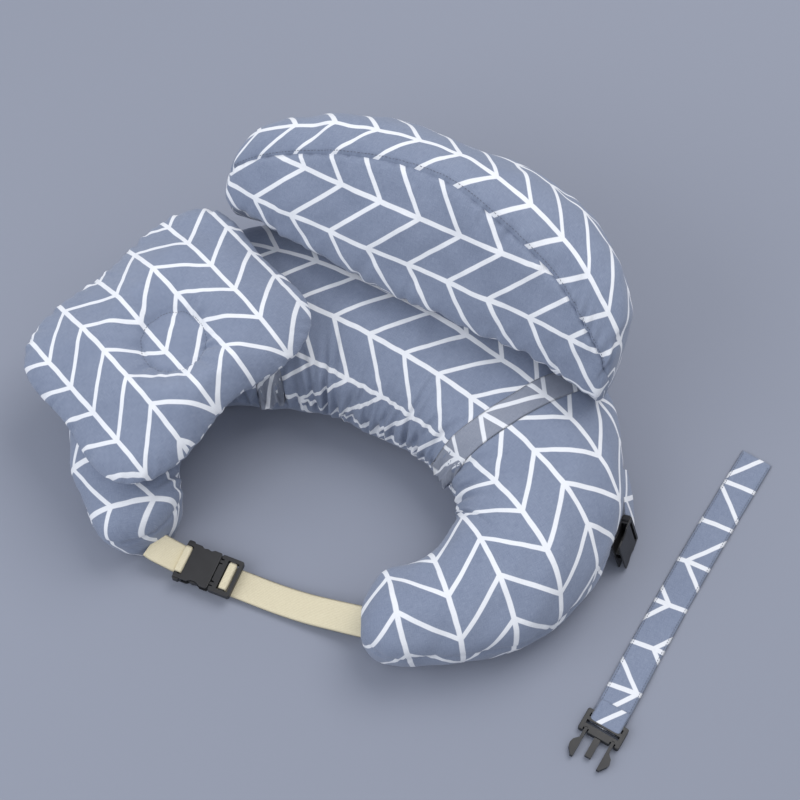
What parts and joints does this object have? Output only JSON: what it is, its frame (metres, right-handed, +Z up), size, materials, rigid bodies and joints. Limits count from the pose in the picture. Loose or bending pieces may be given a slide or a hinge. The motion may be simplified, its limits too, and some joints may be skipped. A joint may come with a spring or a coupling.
{
  "type": "nursing pillow",
  "caption": "C-shaped nursing pillow with a webbing waist belt, a half-moon raised cushion on its back, a square head pillow on one arm and a loose neck strap.",
  "frame": {"origin": "middle of the waist opening, on the surface that the pillow rests on", "axes": "+X to the arm that carries the neck tab, +Y from the belt to the back of the waist cushion, +Z up"},
  "size_m": [0.8209, 0.5592, 0.2874],
  "materials": {
    "printed_cotton": "matte",
    "strap_cotton": "matte",
    "fibre_filling": "matte",
    "webbing": "matte",
    "buckle_plastic": "satin",
    "zip_tape": "matte",
    "zip_slider": "satin",
    "grip_tape": "matte",
    "stitch_thread": "matte"
  },
  "bodies": {
    "waist_cushion": {"waist_cover": "printed_cotton", "waist_filling": "fibre_filling", "waist_zip_tape": "zip_tape", "waist_zip_coil": "zip_tape", "right_retaining_strap": "strap_cotton", "left_retaining_strap": "strap_cotton", "grip_hook_patches": "grip_tape", "waist_buckle_socket": "buckle_plastic", "belt_webbing_left": "webbing", "belt_webbing_bar_loop": "webbing", "belt_webbing_right": "webbing", "neck_buckle_socket": "buckle_plastic", "neck_tab": "strap_cotton"},
    "waist_zip_slider": {"waist_zip_slider": "zip_slider"},
    "waist_plug": {"waist_buckle_plug": "buckle_plastic", "belt_webbing_turn": "webbing"},
    "waist_prong_far": {"waist_buckle_prong_far": "buckle_plastic"},
    "waist_prong_near": {"waist_buckle_prong_near": "buckle_plastic"},
    "raised_cushion": {"raised_front_panel": "printed_cotton", "raised_gusset": "printed_cotton", "raised_base_panel": "printed_cotton", "raised_filling": "fibre_filling", "grip_loop_patches": "grip_tape", "raised_zip_tape": "zip_tape", "raised_zip_coil": "zip_tape"},
    "raised_zip_slider": {"raised_zip_slider": "zip_slider"},
    "head_pillow": {"head_pillow_cover": "printed_cotton", "head_pillow_filling": "fibre_filling", "head_dimple_stitch": "stitch_thread"},
    "neck_strap": {"neck_strap_fabric": "strap_cotton", "neck_buckle_plug": "buckle_plastic"},
    "neck_prong_far": {"neck_buckle_prong_far": "buckle_plastic"},
    "neck_prong_near": {"neck_buckle_prong_near": "buckle_plastic"}
  },
  "joints": [
    {"name": "raised_cushion_lift", "type": "slide", "parent": "waist_cushion", "child": "raised_cushion", "axis": [0, 0, 1], "range_m": [0, 0.25]},
    {"name": "head_pillow_lift", "type": "slide", "parent": "waist_cushion", "child": "head_pillow", "axis": [0, 0, 1], "range_m": [0, 0.25]},
    {"name": "neck_strap_lift", "type": "slide", "parent": "waist_cushion", "child": "neck_strap", "axis": [0, 0, 1], "range_m": [0, 0.25]},
    {"name": "waist_plug_pull", "type": "slide", "parent": "waist_cushion", "child": "waist_plug", "axis": [1, 0, 0], "range_m": [0, 0.034]},
    {"name": "waist_prong_far_squeeze", "type": "hinge", "parent": "waist_plug", "child": "waist_prong_far", "pos_m": [-0.072, -0.091, 0.014], "axis": [0, 0, 1], "range_deg": [0, 7], "stiffness_Nm_per_rad": 0.4},
    {"name": "waist_prong_near_squeeze", "type": "hinge", "parent": "waist_plug", "child": "waist_prong_near", "pos_m": [-0.072, -0.119, 0.014], "axis": [0, 0, -1], "range_deg": [0, 7], "stiffness_Nm_per_rad": 0.4},
    {"name": "waist_zip_run", "type": "hinge", "parent": "waist_cushion", "child": "waist_zip_slider", "pos_m": [0, -0.01935, 0.05], "axis": [0, 0, 1], "range_deg": [0, 38]},
    {"name": "raised_zip_run", "type": "hinge", "parent": "raised_cushion", "child": "raised_zip_slider", "pos_m": [-0.02413, -0.28118, 0.19262], "axis": [0, 0, 1], "range_deg": [0, 4]},
    {"name": "neck_prong_far_squeeze", "type": "hinge", "parent": "neck_strap", "child": "neck_prong_far", "pos_m": [0.36368, -0.11615, 0.0039], "axis": [0, 0, 1], "range_deg": [0, 7], "stiffness_Nm_per_rad": 0.4},
    {"name": "neck_prong_near_squeeze", "type": "hinge", "parent": "neck_strap", "child": "neck_prong_near", "pos_m": [0.39526, -0.12128, 0.0039], "axis": [0, 0, -1], "range_deg": [0, 7], "stiffness_Nm_per_rad": 0.4}
  ],
  "couplings": [
    {"joint": "waist_prong_near_squeeze", "follows": "waist_prong_far_squeeze", "ratio": 1},
    {"joint": "neck_prong_near_squeeze", "follows": "neck_prong_far_squeeze", "ratio": 1}
  ]
}
